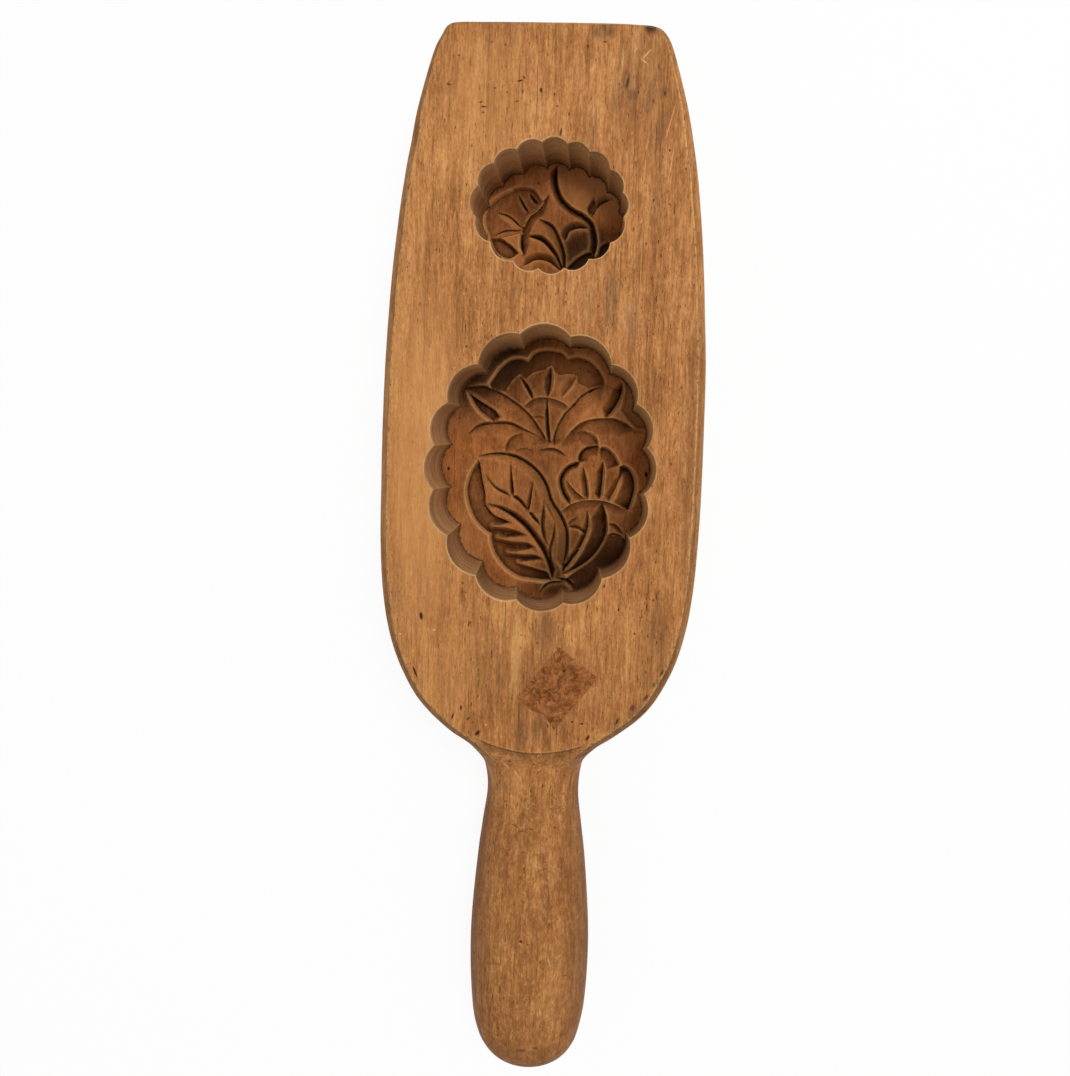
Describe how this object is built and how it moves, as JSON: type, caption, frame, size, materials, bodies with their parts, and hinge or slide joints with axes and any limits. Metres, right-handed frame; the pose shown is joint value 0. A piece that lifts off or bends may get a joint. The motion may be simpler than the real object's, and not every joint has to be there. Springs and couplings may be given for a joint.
{
  "type": "mooncake mold",
  "caption": "Hand-carved wooden mooncake mold paddle with a small and a large scalloped hollow, flower carving, a round handle and a worn paper label.",
  "frame": {"origin": "on the back, under the middle of the whole length and width", "axes": "+Z out of the carved face, +Y along the length towards the flat top end, handle towards -Y, +X to the right of the face"},
  "size_m": [0.104, 0.3466, 0.0402],
  "materials": {
    "carved_wood": "worn, hand-polished, dark in the hollows",
    "aged_paper": "matt, faded and torn paper"
  },
  "bodies": {
    "root": {"mold_paddle": "carved_wood", "paper_label_remnant": "aged_paper"}
  },
  "joints": []
}
